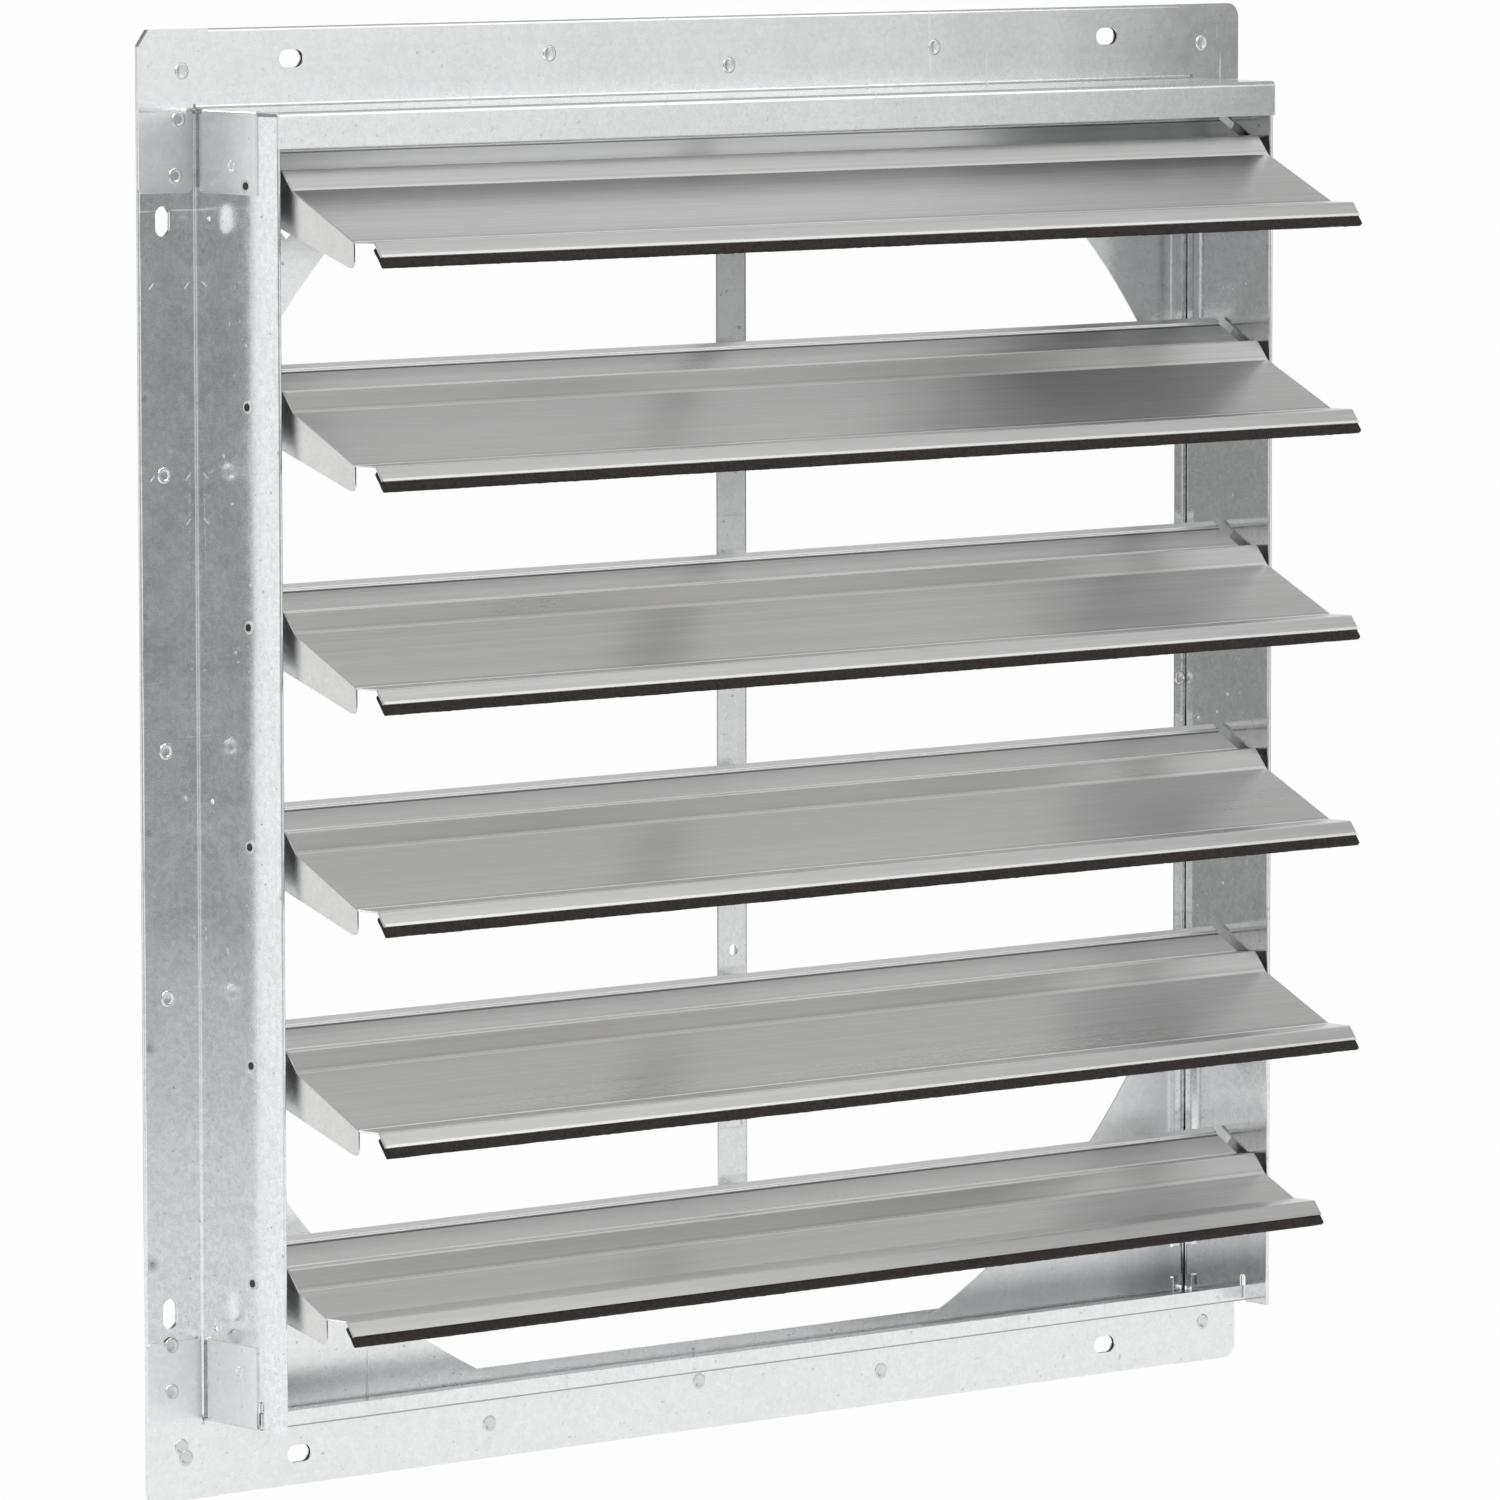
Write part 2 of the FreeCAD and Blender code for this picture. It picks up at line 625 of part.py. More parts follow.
def link_rivet():
    """Headed rivet through the ear of a bracket and the flange of the tie bar."""
    right = vector(1, 0, 0)
    ear_face = BAR_SIDE + LINK_SIDE_GAP + LINK_SHEET
    bar_face = BAR_SIDE - BAR_SHEET - LINK_SIDE_GAP
    foot = vector(bar_face, LINK_Y, LINK_ABOVE)
    shank = Part.makeCylinder(RIVET_RADIUS, ear_face - bar_face, foot, right)
    tail = Part.makeCylinder(RIVET_HEAD_RADIUS, RIVET_HEAD_HEIGHT, foot, -right)
    head_foot = vector(ear_face, LINK_Y, LINK_ABOVE)
    head = Part.makeCylinder(RIVET_HEAD_RADIUS, RIVET_HEAD_HEIGHT, head_foot, right)
    return one_solid(shank.fuse([head, tail]))


def tie_bar():
    """Angle bar behind the blades, with a hole in its flange for each link."""
    half = BAR_SHEET / 2
    heights = [z + LINK_ABOVE for z in pivot_heights()]
    top = heights[0] + BAR_ABOVE
    bottom = heights[-1] - BAR_BELOW
    front = LINK_Y - BAR_AHEAD_OF_LINK
    face = front + half
    side = BAR_SIDE - half
    path = [(-BAR_SIDE, face), (side, face), (side, LINK_Y + BAR_BEHIND_LINK)]
    bar = folded_sheet(path, [BAR_BEND + half], BAR_SHEET, level(bottom), vector(0, 0, top - bottom))
    hole_foot = vector(0, front, heights[-1] + BAR_HOLE_RISE)
    holes = [drill(BAR_HOLE_RADIUS, hole_foot, vector(0, 1, 0), BAR_SHEET)]
    for z in heights:
        foot = vector(BAR_SIDE - BAR_SHEET, LINK_Y, z)
        holes.append(drill(RIVET_RADIUS + RIVET_CLEARANCE, foot, vector(1, 0, 0), BAR_SHEET))
    return one_solid(bar.cut(holes))


def build():
    """All nodes of the shutter by name."""
    nodes = {}
    side_cuts = flange_cutters() + bush_cutters()
    right_rail = right_side_rail()
    top_tab_to = PIVOT_DEPTH + TOP_TAB_PAST_PIVOT
    sill_tab_to = SILL_DEPTH - SILL_TAB_SETBACK
    nodes["top_rail"] = cross_rail(BODY_DEPTH + SHEET, TOP_LIP, 1, TOP_TAB_FROM, top_tab_to)
    nodes["bottom_rail"] = cross_rail(SILL_DEPTH, SILL_LIP, -1, SILL_TAB_FROM, sill_tab_to)
    nodes["right_rail"] = one_solid(right_rail.cut(side_cuts))
    nodes["left_rail"] = one_solid(mirrored_x(right_rail).cut(side_cuts))
    gusset = right_top_gusset()
    for side, flip_x in (("right", 1), ("left", -1)):
        for end, flip_z in (("top", 1), ("bottom", -1)):
            piece = gusset
            if flip_x < 0:
                piece = mirrored_x(piece)
            if flip_z < 0:
                piece = piece.mirror(vector(0, 0, 0), vector(0, 0, 1))
            nodes["gusset_%s_%s" % (end, side)] = piece
    bushes = [right_bush(z) for z in pivot_heights()]
    nodes["bushes_right"] = Part.makeCompound(bushes)
    nodes["bushes_left"] = Part.makeCompound([mirrored_x(bush) for bush in bushes])
    nodes["tie_bar"] = tie_bar()
    full_panel = BLADE_PITCH - PANEL_SHORT_OF_PITCH
    last_panel = SILL_PIVOT_RISE - PANEL_SHORT_OF_SILL
    full_blade = blade(full_panel)
    full_seal = felt_seal(full_panel)
    last_blade = blade(last_panel)
    last_seal = felt_seal(last_panel)
    pins = pivot_pins()
    bracket = link_bracket()
    rivet = link_rivet()
    for i, z in enumerate(pivot_heights()):
        last = i == BLADE_COUNT - 1
        rise = vector(0, 0, z)
        pieces = {
            "blade": last_blade if last else full_blade,
            "seal": last_seal if last else full_seal,
            "pivot_pins": pins,
            "link_bracket": bracket,
            "link_rivet": rivet,
        }
        for name, shape in pieces.items():
            nodes["%s_%d" % (name, i + 1)] = shape.translated(rise)
    return nodes


def main():
    os.makedirs("parts", exist_ok=True)
    for name, shape in build().items():
        shape.exportStep("parts/%s.step" % name)


if __name__ == "__main__":
    main()
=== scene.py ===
import math

import bmesh
import bpy
from mathutils import Matrix, Vector, noise


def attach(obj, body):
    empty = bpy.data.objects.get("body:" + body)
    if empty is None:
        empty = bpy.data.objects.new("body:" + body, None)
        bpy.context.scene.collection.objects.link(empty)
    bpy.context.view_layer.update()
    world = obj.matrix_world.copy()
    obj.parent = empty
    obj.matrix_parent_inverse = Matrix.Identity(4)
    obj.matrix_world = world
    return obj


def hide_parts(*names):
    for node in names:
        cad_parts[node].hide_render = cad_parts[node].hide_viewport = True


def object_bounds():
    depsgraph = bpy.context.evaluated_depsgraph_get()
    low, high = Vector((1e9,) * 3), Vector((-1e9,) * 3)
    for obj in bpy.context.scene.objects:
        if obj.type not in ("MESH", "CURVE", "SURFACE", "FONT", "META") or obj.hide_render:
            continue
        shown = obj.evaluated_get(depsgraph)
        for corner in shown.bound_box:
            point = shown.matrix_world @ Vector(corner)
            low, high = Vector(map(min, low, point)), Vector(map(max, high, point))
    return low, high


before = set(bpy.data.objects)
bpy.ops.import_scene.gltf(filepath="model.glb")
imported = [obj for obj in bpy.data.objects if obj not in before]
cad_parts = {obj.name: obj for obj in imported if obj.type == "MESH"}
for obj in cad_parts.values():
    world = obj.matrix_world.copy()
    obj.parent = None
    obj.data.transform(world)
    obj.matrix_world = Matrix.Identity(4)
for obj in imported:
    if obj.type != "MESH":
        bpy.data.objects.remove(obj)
cad_low, cad_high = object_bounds()
scene = bpy.context.scene
scene.view_settings.view_transform = "Standard"


# The four rails: hot-dip galvanised sheet, each folded to a hemmed flange, a web and a lip.
# The zinc has a fine mottle, rolling lines along the sheet, a few specks and rub marks across it.
# All patterns are on the object's own coordinates in metres, so each rail keeps its marks.
class Signal:
    """A shader socket that takes part in sums, so that a material reads as arithmetic."""

    def __init__(self, finish, socket):
        self.finish = finish
        self.socket = socket

    def __add__(self, other):
        return self.finish.maths("ADD", self, other)

    def __sub__(self, other):
        return self.finish.maths("SUBTRACT", self, other)

    def __rsub__(self, other):
        return self.finish.maths("SUBTRACT", other, self)

    def __mul__(self, other):
        return self.finish.maths("MULTIPLY", self, other)

    def __abs__(self):
        return self.finish.maths("ABSOLUTE", self, 0.0)

    __radd__ = __add__

    def swing(self, amount):
        """A pattern from 0 to 1, made to swing about nought by the amount."""
        return (self - 0.5) * amount


class Finish:
    """The shader nodes of one material, or of the world."""

    def __init__(self, owner):
        owner.use_nodes = True
        self.owner = owner
        self.tree = owner.node_tree
        self.tree.nodes.clear()

    def add(self, kind, settings=None, sockets=None, output=0):
        """One node: its settings come first, then the values or links of its sockets."""
        node = self.tree.nodes.new(kind)
        for key, value in (settings or {}).items():
            setattr(node, key, value)
        for key, value in (sockets or {}).items():
            if isinstance(value, Signal):
                self.tree.links.new(value.socket, node.inputs[key])
            else:
                node.inputs[key].default_value = value
        if not node.outputs:
            return None
        return Signal(self, node.outputs[output])

    def maths(self, operation, a, b):
        return self.add("ShaderNodeMath", {"operation": operation}, {0: a, 1: b})

    def place(self, scale=(1, 1, 1), turn=(0, 0, 0), shift=(0, 0, 0)):
        """The object's own coordinates, stretched, turned or moved."""
        here = self.add("ShaderNodeTexCoord", output="Object")
        sockets = {"Vector": here, "Scale": scale, "Rotation": turn, "Location": shift}
        return self.add("ShaderNodeMapping", {}, sockets)

    def streaked(self, axis, across, along, turn=(0, 0, 0)):
        """Coordinates that draw a pattern out along one axis, as scales across and along it."""
        scale = [across, across, across]
        scale["XYZ".index(axis)] = along
        return self.place(scale, turn)

    def split(self, vector):
        """The X, Y and Z parts of a vector."""
        outputs = self.add("ShaderNodeSeparateXYZ", {}, {0: vector}).socket.node.outputs
        return [Signal(self, outputs[axis]) for axis in "XYZ"]

    def noise(self, where, scale, detail, roughness):
        sockets = {"Vector": where, "Scale": scale, "Detail": detail, "Roughness": roughness}
        return self.add("ShaderNodeTexNoise", {}, sockets)

    def ramp(self, value, low, high, bottom=0.0, top=1.0):
        """A number that goes from bottom to top while the value goes from low to high."""
        sockets = {"Value": value, "From Min": low, "From Max": high, "To Min": bottom, "To Max": top}
        return self.add("ShaderNodeMapRange", {"clamp": True}, sockets)

    def mix(self, factor, a, b):
        return self.add("ShaderNodeMix", {"data_type": "RGBA"}, {0: factor, 6: a, 7: b}, output=2)

    def tone(self, value, tint=(1, 1, 1)):
        """A colour made darker or lighter by a number."""
        grey = self.add("ShaderNodeCombineXYZ", {}, {0: value, 1: value, 2: value})
        return self.add("ShaderNodeVectorMath", {"operation": "MULTIPLY"}, {0: grey, 1: tint})

    def bump(self, height, depth):
        return self.add("ShaderNodeBump", {}, {"Height": height, "Distance": depth})

    def seen_by(self, *kinds):
        """1 for rays of the given kinds, such as Camera or Glossy, and 0 for all others."""
        seen = 0.0
        for kind in kinds:
            ray = self.add("ShaderNodeLightPath", output="Is %s Ray" % kind)
            seen = self.maths("MAXIMUM", ray, seen)
        return seen

    def finish_with(self, **sockets):
        """The finished material: a Principled shader with the given sockets."""
        named = {key.replace("_", " "): value for key, value in sockets.items()}
        shader = self.add("ShaderNodeBsdfPrincipled", {}, named, output="BSDF")
        self.add("ShaderNodeOutputMaterial", {}, {"Surface": shader})
        return self.owner


mm = 0.001
zinc_tint = (0.985, 0.994, 1.0)

# How many features of each pattern in the zinc lie on a metre.
waves_per_m = 9.0
clouds_per_m = 26.0
patches_per_m = 110.0
specks_per_m = 340.0
spangles_per_m = 420.0
fine_grains_per_m = 1300.0


def dress(names, material):
    """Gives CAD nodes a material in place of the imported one."""
    for name in names:
        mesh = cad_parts[name].data
        mesh.materials.clear()
        mesh.materials.append(material)


def galvanised(name, brightness, roughness, axis, seed, wear=1.0, tint=zinc_tint, marks_and_painted_light=()):
    """Zinc on sheet that was rolled along an axis, with the patterns that one piece alone has; some
    of them are painted shade and painted light.
    """
    zinc = Finish(bpy.data.materials.new(name))
    here = zinc.place(shift=(seed, seed * 0.7, seed * 0.3))
    cells = {"Vector": here, "Scale": spangles_per_m, "Randomness": 1.0}
    cells = zinc.add("ShaderNodeTexVoronoi", {"feature": "F1"}, cells, output="Color")
    spangle = zinc.add("ShaderNodeSeparateColor", {}, {0: cells})
    fine = zinc.noise(here, fine_grains_per_m, 3.0, 0.6)
    cloud = zinc.noise(here, clouds_per_m, 5.0, 0.62)
    patches = zinc.noise(here, patches_per_m, 4.0, 0.62)
    lines = zinc.noise(zinc.streaked(axis, 420.0, 5.0), 1.0, 4.0, 0.6)
    specks = zinc.ramp(zinc.noise(here, specks_per_m, 1.0, 0.4), 0.72, 0.78)
    crosswise = {"X": "Z", "Z": "X"}[axis]
    rubs = zinc.noise(zinc.streaked(crosswise, 240.0, 14.0, turn=(0, 0.06, 0)), 1.0, 2.0, 0.4)
    rubs = zinc.ramp(rubs, 0.72, 0.77)

    level = spangle.swing(0.05 * wear) + fine.swing(0.20 * wear) + cloud.swing(0.07 * wear)
    level = level + patches.swing(0.08 * wear) + lines.swing(0.05 * wear)
    level = level + rubs * (0.05 * wear) - specks * (0.12 * wear) + brightness
    rough = cloud.swing(0.14) + fine.swing(0.07 * wear) + patches.swing(0.07 * wear)
    rough = rough + roughness + specks * 0.2 + rubs * 0.3
    metal = 1.0
    for mark_and_painted_light in marks_and_painted_light:
        level, rough, metal = mark_and_painted_light(zinc, level, rough, metal)

    waves = zinc.noise(here, waves_per_m, 2.0, 0.4)
    normal = zinc.bump(waves + lines * 0.010 + fine * 0.006, 0.5 * mm)
    return zinc.finish_with(
        Base_Color=zinc.tone(level, tint), Metallic=metal, Roughness=rough, Normal=normal,
    )


def painted_shade_along(axis, start, end, share):
    """Painted shade: the tone darkens along an axis, from its full tone at the start to a share of
    it.
    """
    def mark_and_painted_light(zinc, level, rough, metal):
        distance = zinc.split(zinc.place())["XYZ".index(axis)]
        return level * zinc.ramp(distance, start, end, 1.0, share), rough, metal
    return mark_and_painted_light


def lapped_ends(zinc, level, rough, metal):
    """Ears and tabs are paler and rougher, a tab's cut edge is made matt so that it shows pale, which
    is painted light, and the sill's fold is painted dark, which is painted shade.
    """
    across, depth, height = zinc.split(zinc.place())
    beyond_web = zinc.ramp(abs(across), 311.2 * mm, 312.2 * mm)
    lap = beyond_web * zinc.ramp(abs(height), 306.5 * mm, 307.0 * mm, 1.0, 0.0)
    # Painted light: the tab's cut edge loses its metal, so it shows pale in place of its dark
    # reflection.
    painted_light_cut_edge = beyond_web * zinc.ramp(depth, -49.9 * mm, -49.7 * mm, 1.0, 0.0)
    # Painted shade: the rounded underside of the sill's fold is painted dark.
    under_fold = zinc.ramp(height, -307.3 * mm, -306.6 * mm, 1.0, 0.0)
    grime_and_painted_shade = under_fold * zinc.ramp(depth, -46.8 * mm, -46.2 * mm, 1.0, 0.0)
    level = (level + lap * 0.06) * (1.0 - grime_and_painted_shade * 0.68)
    return level, rough + lap * 0.16, 1.0 - painted_light_cut_edge


def slanted_dashes(places):
    """Short bright strokes of a tool, at X and Z places in millimetres."""
    slant = math.radians(45)

    def mark_and_painted_light(zinc, level, rough, metal):
        for x, z in places:
            along = -(x * math.cos(slant) + z * math.sin(slant)) * mm
            upward = -(z * math.cos(slant) - x * math.sin(slant)) * mm
            turned = zinc.place(turn=(0, slant, 0), shift=(along, 0, upward))
            run, _, side = zinc.split(turned)
            length = zinc.ramp(abs(run), 1.4 * mm, 2.4 * mm, 1.0, 0.0)
            width = zinc.ramp(abs(side), 0.15 * mm, 0.45 * mm, 1.0, 0.0)
            dash = length * width
            level = level + dash * 0.2
            rough = rough + dash * 0.6
        return level, rough, metal
    return mark_and_painted_light


dash_places = ((-337.8, 226), (-317.1, 226), (-337.8, 136.7), (-317.1, 136.7), (-317.1, 115.6))
# Painted shade: the top rail is painted darker towards its right end.
top_painted_shade = painted_shade_along("X", 130 * mm, 340 * mm, 0.80)
rails = {
    "top": galvanised("galvanised_top", 0.80, 0.20, "X", 0.0, marks_and_painted_light=[top_painted_shade, lapped_ends]),
    "bottom": galvanised("galvanised_bottom", 0.82, 0.24, "X", 3.1, marks_and_painted_light=[lapped_ends]),
    "left": galvanised(
        "galvanised_left", 0.83, 0.14, "Z", 5.7, wear=1.9, tint=(0.97, 0.988, 1.0),
        marks_and_painted_light=[slanted_dashes(dash_places)],
    ),
    "right": galvanised("galvanised_right", 0.82, 0.12, "Z", 8.3, wear=1.6),
}
for rail, zinc_coat in rails.items():
    dress([rail + "_rail"], zinc_coat)


# The corner gussets: four galvanised plates that leave the fan's round opening between them.
# The one at the lower right is paler and less glossy than the others.
gussets = [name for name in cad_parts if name.startswith("gusset")]
dress(gussets, galvanised("galvanised_gusset", 0.82, 0.20, "X", 1.9))
dress(["gusset_bottom_right"], galvanised("galvanised_gusset_low", 0.90, 0.36, "X", 4.2))


# The clinch buttons: each is a ring pressed up from the sheets, with a dished middle.
# They hold the folded hems, the ears and the tabs together, in place of welds.
def piece_from(made, name, material):
    """Turns a finished bmesh into an object with its material."""
    mesh = bpy.data.meshes.new(name)
    made.to_mesh(mesh)
    made.free()
    mesh.materials.append(material)
    piece = bpy.data.objects.new(name, mesh)
    scene.collection.objects.link(piece)
    return piece


def clinch_buttons(name, places, material, radius=4.0 * mm):
    """Buttons at places in millimetres, each spun from half its section and turned to its side."""
    proud = 0.45 * mm
    section = (
        (1.0, 0.0), (0.95, 0.45), (0.86, 0.92), (0.76, 1.0),
        (0.66, 0.8), (0.56, 0.25), (0.44, 0.08), (0.0, 0.06),
    )
    made = bmesh.new()
    for place, facing in places:
        chain = [made.verts.new((radius * out, 0, proud * rise)) for out, rise in section]
        steps = [made.edges.new(pair) for pair in zip(chain, chain[1:])]
        bmesh.ops.spin(
            made, geom=chain + steps, cent=(0, 0, 0), axis=(0, 0, 1), dvec=(0, 0, 0),
            angle=math.tau, steps=28, use_merge=True, use_duplicate=False,
        )
        fresh = [vert for vert in made.verts if not vert.tag]
        turn = Vector(facing).to_track_quat("Z", "Y").to_matrix().to_4x4()
        seat = Matrix.Translation(Vector(place) * mm) @ turn
        bmesh.ops.transform(made, matrix=seat, verts=fresh)
        for vert in fresh:
            vert.tag = True
    bmesh.ops.remove_doubles(made, verts=made.verts, dist=0.002 * mm)
    bmesh.ops.recalc_face_normals(made, faces=made.faces)
    for face in made.faces:
        face.smooth = True
    piece = piece_from(made, name, material)
    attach(piece, "frame")


front = (0, -1, 0)
flange_face = -3.1
hem_face = -2.2
return_face = -0.9
tab_face = 312.9
top_buttons = [(-101, 329), (10.5, 321), (142, 327)]
bottom_buttons = [(-141, -328), (-10, -321), (107, -328), (-325.6, -319.6)]
for side in (-1, 1):
    top_buttons += [(side * 320, 325.5), (side * 322, 303), (side * 324, 277)]
    bottom_buttons += [(side * 323, -325), (side * 331, -293), (side * 331, -271)]
pressed_zinc = galvanised("galvanised_buttons", 0.68, 0.28, "X", 2.2)
for name, buttons in (("clinches_top", top_buttons), ("clinches_bottom", bottom_buttons)):
    clinch_buttons(name, [((x, flange_face, z), front) for x, z in buttons], pressed_zinc)
for name, side in (("left", -1), ("right", 1)):
    hem_places = [((side * 331, hem_face, z), front) for z in (138, 9, -107)]
    lip_places = [((side * 308.5, return_face, 5), front)]
    tab_places = [((side * tab_face, -31, z), (side, 0, 0)) for z in (282, -282)]
    clinch_buttons("clinches_" + name, hem_places, rails[name])
    clinch_buttons("lip_clinch_" + name, lip_places, rails[name], 3.5 * mm)
    clinch_buttons("tab_clinches_" + name, tab_places, rails["top"], 2.8 * mm)


# The six blades: thin mill-finish aluminium, roll-formed, so fine lines run along each blade.
# The folds carry painted highlights and painted dark lines, the hem band and the rear panel painted
# light, and the sheet beside the hem at the rear edge painted shade.
# The link brackets are cut from the same sheet.
def rolled_aluminium():
    """Mill finish with painted light: each fold given by its depth, half width, painted change in
    tone and painted glint share.
    """
    folds = (
        (-33.4, 0.95, -0.46, 0.0), (-47.4, 0.8, 0.46, 0.6), (-60.6, 0.7, 0.14, 0.0),
        (-68.3, 1.0, 0.22, 0.0), (-113.6, 1.1, -0.10, 0.0), (-115.0, 0.7, 0.52, 0.4),
        (-129.8, 0.8, 0.24, 0.0), (-134.9, 0.7, 0.34, 0.3),
    )
    blade = Finish(bpy.data.materials.new("rolled_aluminium"))
    fine = blade.noise(blade.streaked("X", 520, 0.6), 1.0, 4.0, 0.7)
    broad = blade.noise(blade.streaked("X", 150, 0.5), 1.0, 3.0, 0.55)
    stain = blade.noise(blade.streaked("X", 14, 2.0), 1.0, 5.0, 0.6)
    across, depth, _ = blade.split(blade.place())
    depth = depth * 1000
    # Painted light: the hem band is a painted highlight, the sheet beside it is painted shade, and
    # the rear panel is painted lighter.
    hem = blade.ramp(depth, -33.2, -32.4, 0.0, 0.54)
    beside_hem = blade.ramp(depth, -43.0, -34.0, 0.0, -0.16)
    rear_panel = blade.ramp(depth, -67.5, -66.5, 0.0, 0.10)
    lines = rear_panel + hem + beside_hem
    # Each fold is a painted line, lighter or darker by its change in tone; its glint share takes the
    # metal away there, so it shows pale, as a painted glint.
    painted_glint = 0.0
    for fold, width, painted_gain, share in folds:
        near = abs(depth - fold)
        lines = lines + blade.ramp(near, width * 0.5, width, painted_gain, 0.0)
        if share:
            painted_glint = painted_glint + blade.ramp(near, width * 0.5, width, share, 0.0)
    panels = blade.ramp(abs(across), 305.0 * mm, 305.4 * mm, 1.0, 0.0)
    tone = fine.swing(0.22) + broad.swing(0.12) + stain.swing(0.14) + 0.715 + lines * panels
    return blade.finish_with(
        Base_Color=blade.tone(tone, (1.0, 0.997, 0.99)),
        Metallic=1.0 - painted_glint * panels,
        Roughness=fine.swing(0.06) + stain.swing(0.16) + 0.30,
        Normal=blade.bump(fine * 0.03 + broad * 0.12 + stain * 1.6, 0.2 * mm),
    )


numbers = range(1, 7)
aluminium = rolled_aluminium()
dress(["blade_%d" % i for i in numbers], aluminium)
dress(["link_bracket_%d" % i for i in numbers], aluminium)


# The felt strips: brown-black pressed wool, cut in strips and glued behind the blades' lips.
# Their edges are soft and their faces slightly uneven, so each is a grid rolled into a tube.
def pressed_felt():
    felt = Finish(bpy.data.materials.new("pressed_felt"))
    fibre = felt.noise(felt.streaked("X", 1, 0.35), 2600.0, 4.0, 0.7)
    clump = felt.noise(felt.place(), 420.0, 3.0, 0.6)
    shade = felt.ramp(fibre * 0.65 + clump * 0.35, 0.36, 0.66)
    return felt.finish_with(
        Base_Color=felt.mix(shade, (0.006, 0.005, 0.0045, 1), (0.045, 0.036, 0.032, 1)),
        Roughness=0.95,
        Normal=felt.bump(fibre + clump * 0.8, 0.5 * mm),
    )


def felt_strip(number, material):
    """One strip, with rounded corners and a ripple, round the section of the plain CAD bar."""
    rows = 380
    around = 28
    squareness = 0.32
    ripple_depth = 0.22 * mm
    bar = [vert.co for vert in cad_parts["seal_%d" % number].data.vertices]
    left = min(co.x for co in bar)
    length = max(co.x for co in bar) - left
    corners = {(round(co.y, 6), round(co.z, 6)) for co in bar}
    corners = [Vector((0, y, z)) for y, z in corners]
    middle = sum(corners, Vector()) / len(corners)
    corners.sort(key=lambda corner: math.atan2(corner.z - middle.z, corner.y - middle.y))
    half_one = (corners[1] - corners[0]) / 2
    half_two = (corners[2] - corners[1]) / 2

    made = bmesh.new()
    bmesh.ops.create_grid(made, x_segments=rows, y_segments=around, size=1)
    for vert in made.verts:
        x = left + length * (vert.co.x + 1) / 2
        angle = math.pi * (vert.co.y + 1)
        one = math.copysign(abs(math.cos(angle)) ** squareness, math.cos(angle))
        two = math.copysign(abs(math.sin(angle)) ** squareness, math.sin(angle))
        spot = half_one * one + half_two * two
        ripple = noise.noise(Vector((x * 330, spot.y * 420, spot.z * 420 + number * 7)))
        ripple += 0.6 * noise.noise(Vector((x * 60, spot.y * 300, spot.z * 300 - number * 5)))
        spot = spot - spot.normalized() * ripple_depth * (1 + max(-1, min(1, ripple)))
        vert.co = (x, middle.y + spot.y, middle.z + spot.z)

    # The long edges of the grid meet and are joined, and the two open ends are closed.
    bmesh.ops.remove_doubles(made, verts=made.verts, dist=0.001 * mm)
    open_ends = [edge for edge in made.edges if edge.is_boundary]
    bmesh.ops.holes_fill(made, edges=open_ends, sides=0)
    bmesh.ops.recalc_face_normals(made, faces=made.faces)
    for face in made.faces:
        face.smooth = len(face.verts) == 4
    piece = piece_from(made, "felt_strip_%d" % number, material)
    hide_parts("seal_%d" % number)
    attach(piece, "blade_%d" % number)


felt_mat = pressed_felt()
for i in numbers:
    felt_strip(i, felt_mat)


# The tie bar: a galvanised angle that the link brackets are riveted to, behind the blades.
# It is duller than the rails, and its upper part is painted darker, as painted shade.
bar_painted_shade = painted_shade_along("Z", 20 * mm, 170 * mm, 0.58)
dress(["tie_bar"], galvanised("galvanised_bar", 0.76, 0.26, "Z", 6.6, marks_and_painted_light=[bar_painted_shade]))


# The pivot pins and link rivets: zinc-plated steel, turned, with fine rings of tool marks.
# The outer tips of the pins, which show in the bushes, are painted dark, as painted shade in the
# bushes' holes.
def plated_steel():
    plate = Finish(bpy.data.materials.new("plated_steel"))
    speck = plate.noise(plate.place(), 900.0, 3.0, 0.6)
    rings = plate.noise(plate.streaked("X", 8, 1), 300.0, 2.0, 0.5)
    across = plate.split(plate.place())[0]
    # Painted shade: the pins' tips, beyond the bushes, are painted dark.
    painted_tip_shade = plate.ramp(abs(across), 312.1 * mm, 312.5 * mm, 1.0, 0.10)
    tone = (speck.swing(0.2) + rings.swing(0.1) + 0.66) * painted_tip_shade
    return plate.finish_with(
        Base_Color=plate.tone(tone, (0.97, 0.98, 1.0)), Metallic=1.0,
        Roughness=speck.swing(0.2) + 0.3, Normal=plate.bump(rings, 0.08 * mm),
    )


steel = plated_steel()
dress(["pivot_pins_%d" % i for i in numbers], steel)
dress(["link_rivet_%d" % i for i in numbers], steel)


# The bushes: white moulded nylon, pressed into the holes of the side rails.
# They are a little greyed by handling.
def moulded_nylon():
    nylon = Finish(bpy.data.materials.new("moulded_nylon"))
    grime_and_painted_shade = nylon.noise(nylon.place(), 350.0, 3.0, 0.6)
    greyed = nylon.ramp(grime_and_painted_shade, 0.35, 0.7)
    return nylon.finish_with(
        Base_Color=nylon.mix(greyed, (0.93, 0.93, 0.91, 1), (0.78, 0.78, 0.75, 1)),
        Roughness=grime_and_painted_shade.swing(0.2) + 0.45, Normal=nylon.bump(grime_and_painted_shade, 0.1 * mm),
    )


dress(["bushes_left", "bushes_right"], moulded_nylon())


